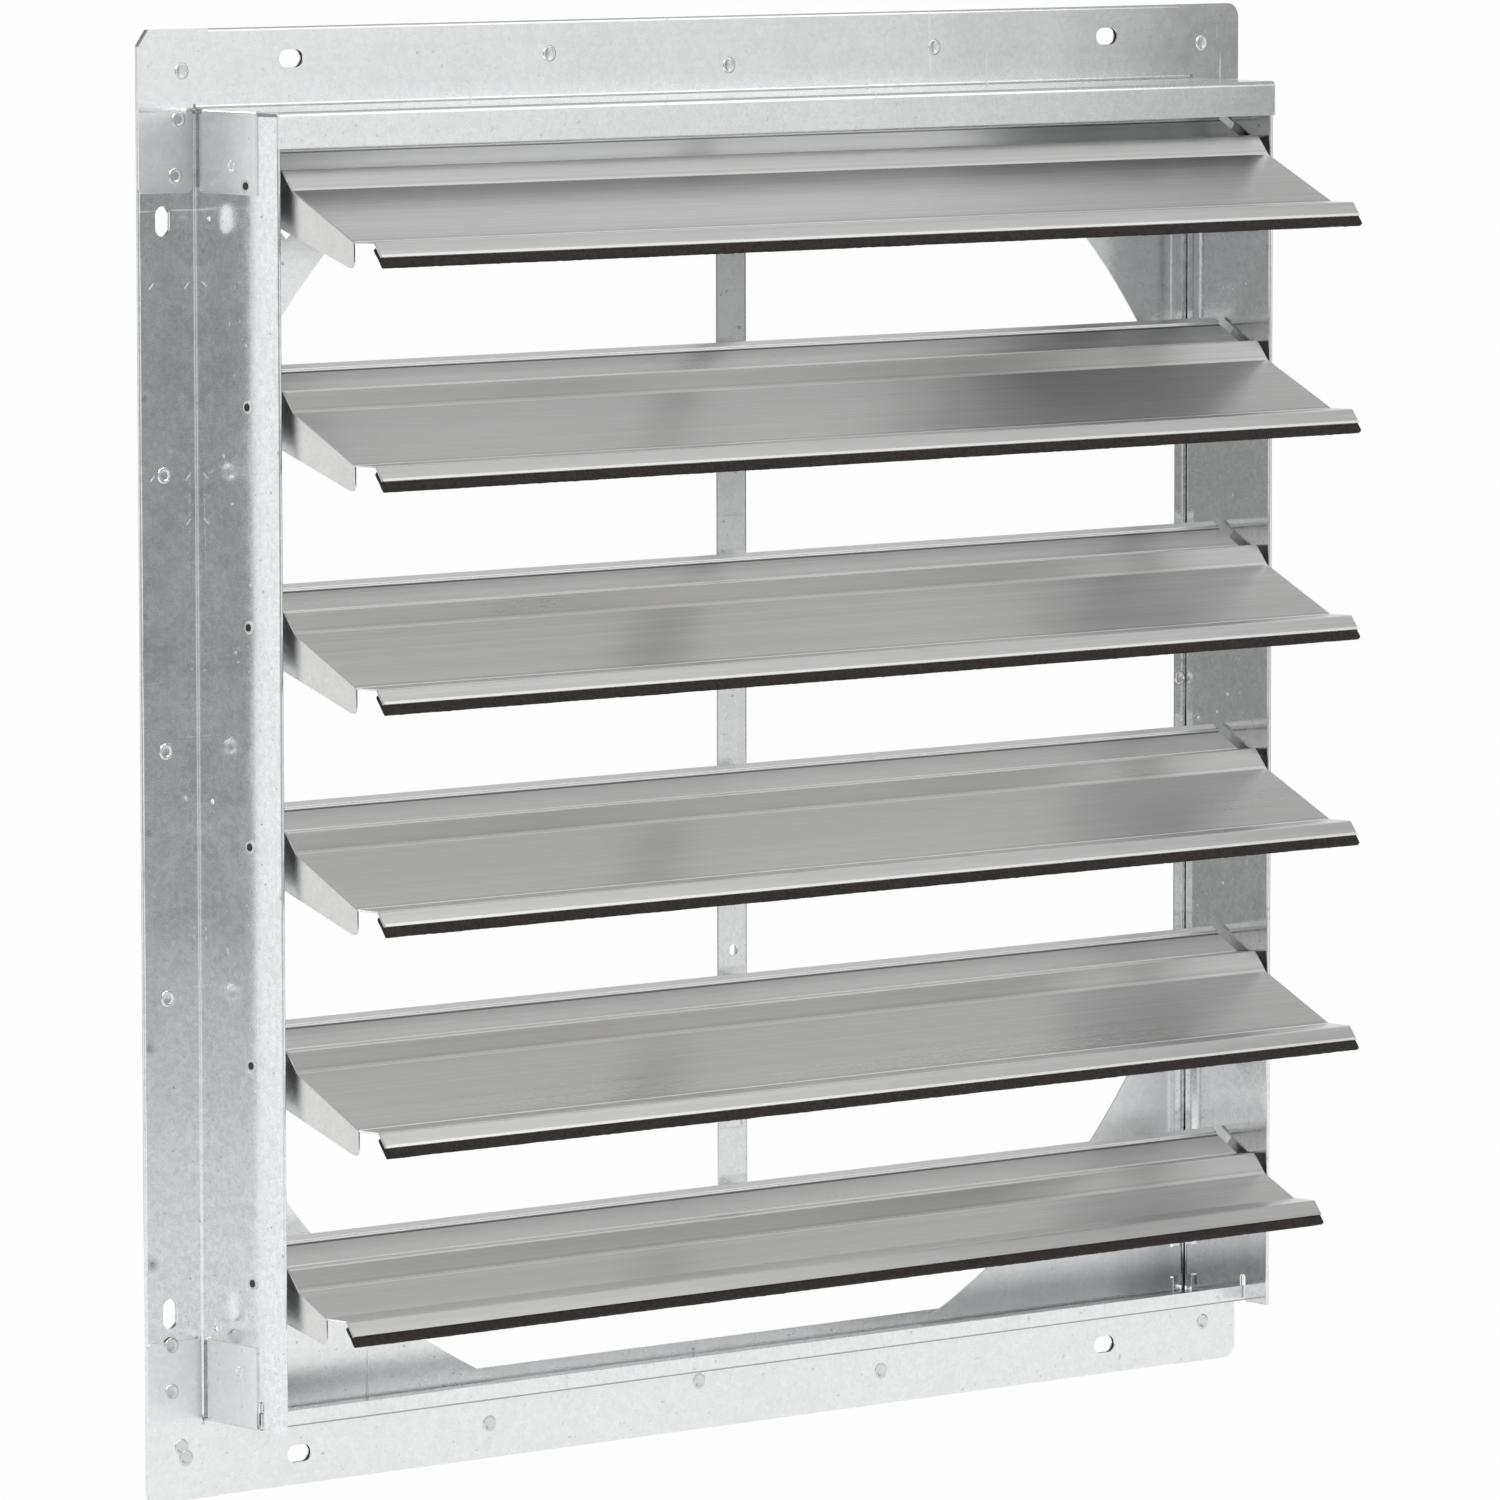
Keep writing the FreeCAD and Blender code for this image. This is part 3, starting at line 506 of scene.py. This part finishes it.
# The floor and the room: a plain pale studio, white to the camera, with the shutter's soft shadow.
# The metal alone sees the greys in it: the walls' tones go by direction, in degrees from the
# front towards +X, and the ceiling's by how many degrees the direction is away from its middle.
sectors = 144
room_radius = 31.0
floor_radii = (0.001, 0.4, 0.8, 1.2, 1.6, 2.0, 2.5, 3.0, 4.0, 5.5, 7.0, 12.0, 30.0)
room_tilts = (0, 2, 5, 8, 12, 17, 23, 30, 40, 55, 70, 85)
room_tones = (
    (-180, 1.0), (-110, 1.0), (-90, 0.80), (-62, 0.46), (-40, 0.38), (-20, 0.50), (0, 0.95),
    (20, 1.0), (38, 1.0), (41, 0.86), (45, 0.40), (70, 0.42), (100, 0.75), (118, 1.0), (180, 1.0),
)
ceiling_tones = ((0, 0.95), (38, 0.95), (56, 0.52), (200, 0.52))
ceiling_middle = 20


def between(value, points):
    """The tone at a value, on straight lines between the points."""
    for (x0, y0), (x1, y1) in zip(points, points[1:]):
        if value <= x1:
            return y0 + (y1 - y0) * max(0, value - x0) / (x1 - x0)
    return points[-1][1]


def floor_tone(turn, radius, rise):
    """White near the shutter, and the room's tone from 3 metres on."""
    far = between(radius, ((1.0, 0.0), (3.0, 1.0), (30.0, 1.0)))
    return 1.0 + (between(turn, room_tones) - 1.0) * far


def room_tone(turn, radius, rise):
    """The wall's tone low down, and the ceiling's from 30 degrees up."""
    tilt = math.degrees(math.atan2(rise, radius))
    high = between(tilt, ((12.0, 0.0), (30.0, 1.0), (90.0, 1.0)))
    ceiling = between(abs(turn - ceiling_middle), ceiling_tones)
    return between(turn, room_tones) * (1 - high) + ceiling * high


def studio_shell(name, section, ground, tone_at, glow_for_all, glow_for_view):
    """A shell spun from its section, with its tone held at each vertex as the level."""
    made = bmesh.new()
    tones = made.verts.layers.float_color.new("level")
    chain = [made.verts.new((0, radius, ground + rise)) for radius, rise in section]
    steps = [made.edges.new(pair) for pair in zip(chain, chain[1:])]
    bmesh.ops.spin(
        made, geom=chain + steps, cent=(0, 0, 0), axis=(0, 0, 1), dvec=(0, 0, 0),
        angle=math.tau, steps=sectors, use_merge=True, use_duplicate=False,
    )
    for vert in made.verts:
        turn = math.degrees(math.atan2(vert.co.x, -vert.co.y))
        level = tone_at(turn, math.hypot(vert.co.x, vert.co.y), vert.co.z - ground)
        vert[tones] = (level, level, level, 1)

    pale = Finish(bpy.data.materials.new(name))
    dust = pale.noise(pale.place(), 3.0, 3.0, 0.5)
    level = pale.add("ShaderNodeAttribute", {"attribute_name": "level"}, output="Fac")
    level = level + dust.swing(0.01)
    shown_level = pale.maths("MAXIMUM", level, pale.seen_by("Camera"))
    glow = pale.add("ShaderNodeEmission", {}, {"Color": pale.tone(shown_level), "Strength": 1.0})
    matt = pale.add("ShaderNodeBsdfDiffuse", {}, {"Color": pale.tone(level * 0.85)})
    in_view = pale.seen_by("Camera", "Glossy", "Transmission") * glow_for_view
    factor = pale.maths("MAXIMUM", in_view, glow_for_all)
    shown = pale.add("ShaderNodeMixShader", {}, {0: factor, 1: matt, 2: glow})
    pale.add("ShaderNodeOutputMaterial", {}, {"Surface": shown})
    pale.owner.cycles.emission_sampling = "NONE"
    piece_from(made, name, pale.owner)


floor_section = [(radius, 0) for radius in floor_radii]
tilts = [math.radians(tilt) for tilt in room_tilts]
room_section = [(room_radius * math.cos(tilt), room_radius * math.sin(tilt)) for tilt in tilts]
studio_shell("floor", floor_section, cad_low.z - 0.5 * mm, floor_tone, 0.0, 0.97)
studio_shell("room", room_section, cad_low.z, room_tone, 1.0, 1.0)


# Two grey cards that only the metal sees, as a photographer sets them beside a shiny thing.
# The one behind darkens the right rail's web, and the one at the right the top rail's far end.
def grey_card(name, x_from, x_to, y, z_from, z_to, tone, slant=0.0):
    """An upright card, whose upper left corner is moved right by the slant."""
    corners = ((x_from, z_from), (x_to, z_from), (x_to, z_to), (x_from + slant, z_to))
    made = bmesh.new()
    made.faces.new([made.verts.new((x, y, z)) for x, z in corners])
    grey = Finish(bpy.data.materials.new(name))
    weave = grey.noise(grey.place(), 200.0, 2.0, 0.5)
    colour = grey.tone(weave.swing(0.02) + tone)
    glow = grey.add("ShaderNodeEmission", {}, {"Color": colour, "Strength": 1.0})
    clear = grey.add("ShaderNodeBsdfTransparent")
    shown = grey.add("ShaderNodeMixShader", {}, {0: grey.seen_by("Glossy"), 1: clear, 2: glow})
    grey.add("ShaderNodeOutputMaterial", {}, {"Surface": shown})
    grey.owner.cycles.emission_sampling = "NONE"
    piece_from(made, name, grey.owner)


grey_card("card_behind", -0.75, -0.02, 0.77, cad_low.z, 0.9, 0.31)
grey_card("card_right", 0.80, 2.6, -0.74, -0.25, 1.6, 0.35, 0.42)


# The light: two large soft lamps in front, and a white world that is weaker on matt surfaces.
# Sizes and places in metres, power in watts.
def soft_lamp(name, place, size, watts):
    data = bpy.data.lights.new(name, "AREA")
    data.shape = "RECTANGLE"
    data.size = size
    data.size_y = size
    data.energy = watts
    lamp = bpy.data.objects.new(name, data)
    lamp.location = place
    lamp.rotation_euler = (-Vector(place)).to_track_quat("-Z", "Y").to_euler()
    scene.collection.objects.link(lamp)


soft_lamp("key_lamp", (-1.6, -2.6, 2.4), 1.6, 34)
soft_lamp("fill_lamp", (2.6, -2.2, 1.6), 2.0, 10)

matt_strength = 0.65
world = bpy.data.worlds.new("studio")
air = Finish(world)
in_view = air.seen_by("Camera", "Glossy", "Transmission")
strength = in_view * (1 - matt_strength) + matt_strength
sky = air.add("ShaderNodeBackground", {}, {"Color": (1, 1, 1, 1), "Strength": strength})
air.add("ShaderNodeOutputWorld", {}, {"Surface": sky})
scene.world = world


# The camera: a long lens from the left and a little above, as in the photograph.
# Angles in degrees and distances in metres were found by fitting the shutter's own corners.
camera_yaw = math.radians(39.91)
camera_pitch = math.radians(5.63)
camera_roll = math.radians(-0.09)
camera_distance = 5.018
camera_target = Vector((-0.0078, -0.0400, -0.0083))
forward = Vector((
    math.sin(camera_yaw) * math.cos(camera_pitch),
    math.cos(camera_yaw) * math.cos(camera_pitch),
    -math.sin(camera_pitch),
))
level_right = Vector((math.cos(camera_yaw), -math.sin(camera_yaw), 0))
level_up = level_right.cross(forward)
right = level_right * math.cos(camera_roll) + level_up * math.sin(camera_roll)
up = level_up * math.cos(camera_roll) - level_right * math.sin(camera_roll)
camera_data = bpy.data.cameras.new("camera")
camera_data.sensor_width = 36
camera_data.lens = 249.1
camera_data.clip_start = 0.1
camera_data.clip_end = 60
camera = bpy.data.objects.new("camera", camera_data)
camera.matrix_world = Matrix.Translation(camera_target - forward * camera_distance) @ Matrix((
    (right.x, up.x, -forward.x, 0),
    (right.y, up.y, -forward.y, 0),
    (right.z, up.z, -forward.z, 0),
    (0, 0, 0, 1),
))
scene.collection.objects.link(camera)
scene.camera = camera
